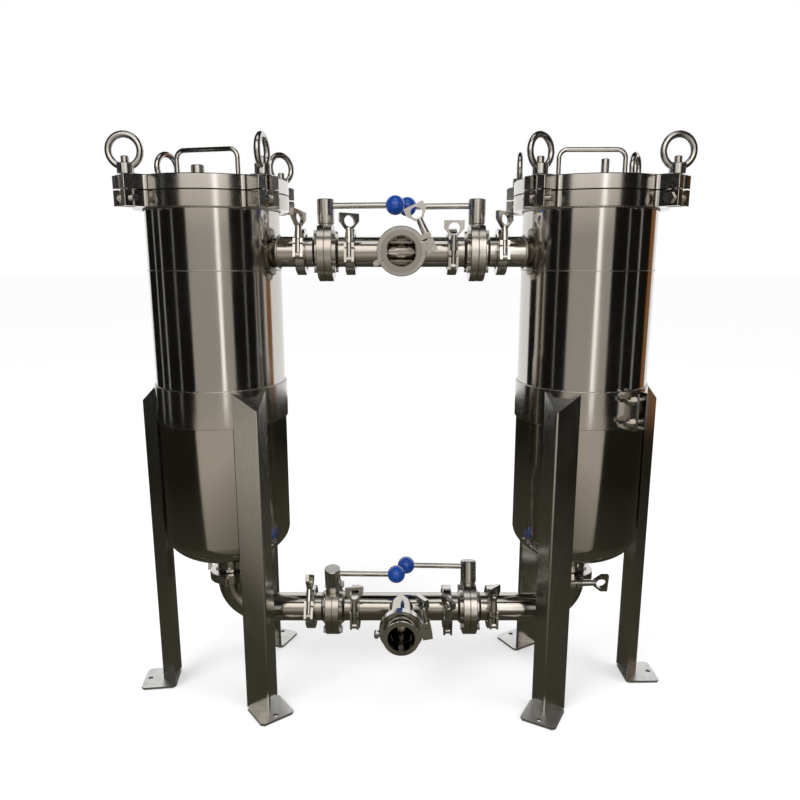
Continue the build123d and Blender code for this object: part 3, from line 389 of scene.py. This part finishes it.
def make_floor():
    """A white floor that keeps a faint shadow."""
    material = bpy.data.materials.new("floor")
    material.use_nodes = True
    tree = material.node_tree
    shader = tree.nodes["Principled BSDF"]
    shader.inputs["Base Color"].default_value = (0.82, 0.82, 0.82, 1)
    shader.inputs["Roughness"].default_value = 1.0
    shader.inputs["Specular IOR Level"].default_value = 0.0
    shader.inputs["Emission Color"].default_value = (1, 1, 1, 1)
    glow = tree.nodes.new("ShaderNodeMath")
    glow.operation = "MULTIPLY"
    glow.inputs[1].default_value = FLOOR_GLOW
    tree.links.new(seen_ray(tree), glow.inputs[0])
    tree.links.new(glow.outputs[0], shader.inputs["Emission Strength"])
    reach = 30.0
    corners = [(-reach, -reach, 0), (reach, -reach, 0), (reach, reach, 0), (-reach, reach, 0)]
    stage_piece("floor", corners, [(0, 1, 2, 3)], material)


DOORWAY_DIM_BELOW = 0.9
DOORWAY_FULL_ABOVE = 1.7


def card_material(name, colour, strength=1.0, upper=None):
    """An unlit card, its brightness rising from its lower edge to its upper one."""
    material = bpy.data.materials.new(name)
    material.use_nodes = True
    tree = material.node_tree
    tree.nodes.remove(tree.nodes["Principled BSDF"])
    glow = tree.nodes.new("ShaderNodeEmission")
    glow.inputs["Color"].default_value = (*colour, 1)
    glow.inputs["Strength"].default_value = strength
    tree.links.new(glow.outputs[0], tree.nodes["Material Output"].inputs["Surface"])
    if upper is not None:
        place = tree.nodes.new("ShaderNodeTexCoord")
        split = tree.nodes.new("ShaderNodeSeparateXYZ")
        ramp = tree.nodes.new("ShaderNodeMapRange")
        ramp.inputs["From Min"].default_value = DOORWAY_DIM_BELOW
        ramp.inputs["From Max"].default_value = DOORWAY_FULL_ABOVE
        ramp.inputs["To Min"].default_value = strength
        ramp.inputs["To Max"].default_value = upper
        tree.links.new(place.outputs["Object"], split.inputs[0])
        tree.links.new(split.outputs["Z"], ramp.inputs["Value"])
        tree.links.new(ramp.outputs["Result"], glow.inputs["Strength"])
    return material


GROUND_NEAR = 0.5       # from the middle, where a ground card starts and ends its change of colour
GROUND_FAR = 1.7


def ground_material(name, near, far):
    """An unlit floor card, its colour changing with the distance from the middle."""
    made = Nodes(name)
    made.tree.nodes.remove(made.shader)
    distance = made.add("ShaderNodeVectorMath", operation="DISTANCE")
    made.link(made.place, distance.inputs[0])
    distance.inputs[1].default_value = (centre.x, centre.y, 0)
    glow = made.add("ShaderNodeEmission")
    share = made.spread(distance.outputs["Value"], 0, 1, GROUND_NEAR, GROUND_FAR)
    made.link(made.mixed(share, near, far), glow.inputs["Color"])
    made.link(glow.outputs[0], made.tree.nodes["Material Output"].inputs["Surface"])
    return made.material


def only_in_gloss(card):
    """The card shapes reflections, and neither shows, lights nor shades anything."""
    card.visible_camera = False
    card.visible_diffuse = False
    card.visible_transmission = False
    card.visible_shadow = False


ROOM_RADIUS = 2.6
ROOM_TOP = 3.4
CARD_STEP = 4.0         # degrees between a curved card's corners


def wall_card(name, start, end, material, radius=ROOM_RADIUS):
    """A curved upright card between two bearings in degrees from the front towards +X."""
    steps = max(2, round(abs(end - start) / CARD_STEP))
    points = []
    for i in range(steps + 1):
        turn = radians(start + (end - start) * i / steps)
        x, y = centre.x + radius * sin(turn), centre.y - radius * cos(turn)
        points += [(x, y, 0.0), (x, y, ROOM_TOP)]
    faces = [(2 * i, 2 * i + 2, 2 * i + 3, 2 * i + 1) for i in range(steps)]
    only_in_gloss(stage_piece(name, points, faces, material))


def round_card(name, radius, height, material):
    """A round level card, as a fan about its middle."""
    steps = 48
    points = []
    for i in range(steps):
        turn = tau * i / steps
        points.append((centre.x + radius * cos(turn), centre.y + radius * sin(turn), height))
        points.append((centre.x, centre.y, height))
    around = 2 * steps
    faces = [(2 * i, (2 * i + 2) % around, (2 * i + 3) % around, 2 * i + 1) for i in range(steps)]
    only_in_gloss(stage_piece(name, points, faces, material))


def level_sector(name, start, end, material, near=0.3, height=0.002, far=ROOM_RADIUS):
    """A level card between two bearings and two distances from the middle."""
    steps = max(2, round(abs(end - start) / CARD_STEP))
    points = []
    for i in range(steps + 1):
        turn = radians(start + (end - start) * i / steps)
        for radius in (near, far):
            points.append((centre.x + radius * sin(turn), centre.y - radius * cos(turn), height))
    faces = [(2 * i, 2 * i + 1, 2 * i + 3, 2 * i + 2) for i in range(steps)]
    only_in_gloss(stage_piece(name, points, faces, material))


def make_cards():
    """Cards round the object, as a dim workshop with a bright doorway would look in its steel."""
    doorway = card_material("doorway", (1.0, 0.93, 0.84), 0.42, 1.5)
    lamp = card_material("lamp", (1.0, 0.97, 0.93), 1.6, 2.4)
    dark = card_material("dark_wall", (0.008, 0.0075, 0.006))
    wood = card_material("wood", (0.26, 0.12, 0.05))
    grey = card_material("grey_wall", (0.5, 0.5, 0.51))
    ground = ground_material("ground", (0.06, 0.055, 0.04), (0.014, 0.013, 0.009))
    skylight = card_material("skylight", (1.0, 0.99, 0.97), 1.1)
    lit_ground = ground_material("lit_ground", (0.13, 0.12, 0.09), (0.5, 0.46, 0.39))
    wall_card("doorway", -37, 33, doorway)
    wall_card("lamp", 9, 15, lamp, radius=ROOM_RADIUS - 0.1)
    # dark walls, with narrow gaps between them
    for number, (start, end) in enumerate([(-60, -37), (-84, -61), (-100, -86), (-128, -102)]):
        wall_card(f"dark_left_{number}", start, end, dark)
    for number, (start, end) in enumerate([(33, 58), (59, 80), (82, 106)]):
        wall_card(f"dark_right_{number}", start, end, dark)
    wall_card("grey_gaps", -128, -37, grey, radius=ROOM_RADIUS + 0.1)
    wall_card("wood", 106, 122, wood)
    wall_card("grey_right", 33, 106, grey, radius=ROOM_RADIUS + 0.1)
    round_card("dark_ceiling", ROOM_RADIUS + 0.2, ROOM_TOP, dark)
    round_card("ground", ROOM_RADIUS + 0.2, 0.001, ground)
    level_sector("lit_ground", -42, 38, lit_ground)
    level_sector("skylight", -55, 55, skylight, near=0.2, height=ROOM_TOP - 0.1, far=1.5)


def make_lamps():
    """A large soft lamp in front on the left, and a weaker one on the right."""
    for name, place, size, power in (
        ("key_lamp", (-1.6, -2.0, 2.4), 1.6, 34.0),
        ("fill_lamp", (2.0, -1.2, 1.8), 1.6, 14.0),
    ):
        data = bpy.data.lights.new(name, "AREA")
        data.size = size
        data.energy = power
        lamp = bpy.data.objects.new(name, data)
        lamp.location = place
        lamp.visible_glossy = False
        aim = Vector((centre.x, centre.y, 0.5)) - lamp.location
        lamp.rotation_euler = aim.to_track_quat("-Z", "Y").to_euler()
        bpy.context.scene.collection.objects.link(lamp)


# ---------------------------------------------------------------- make it all
make_camera()
make_world()
make_floor()
make_cards()
make_lamps()
dress_cad()
make_welds()
bpy.context.scene.view_settings.view_transform = "Standard"
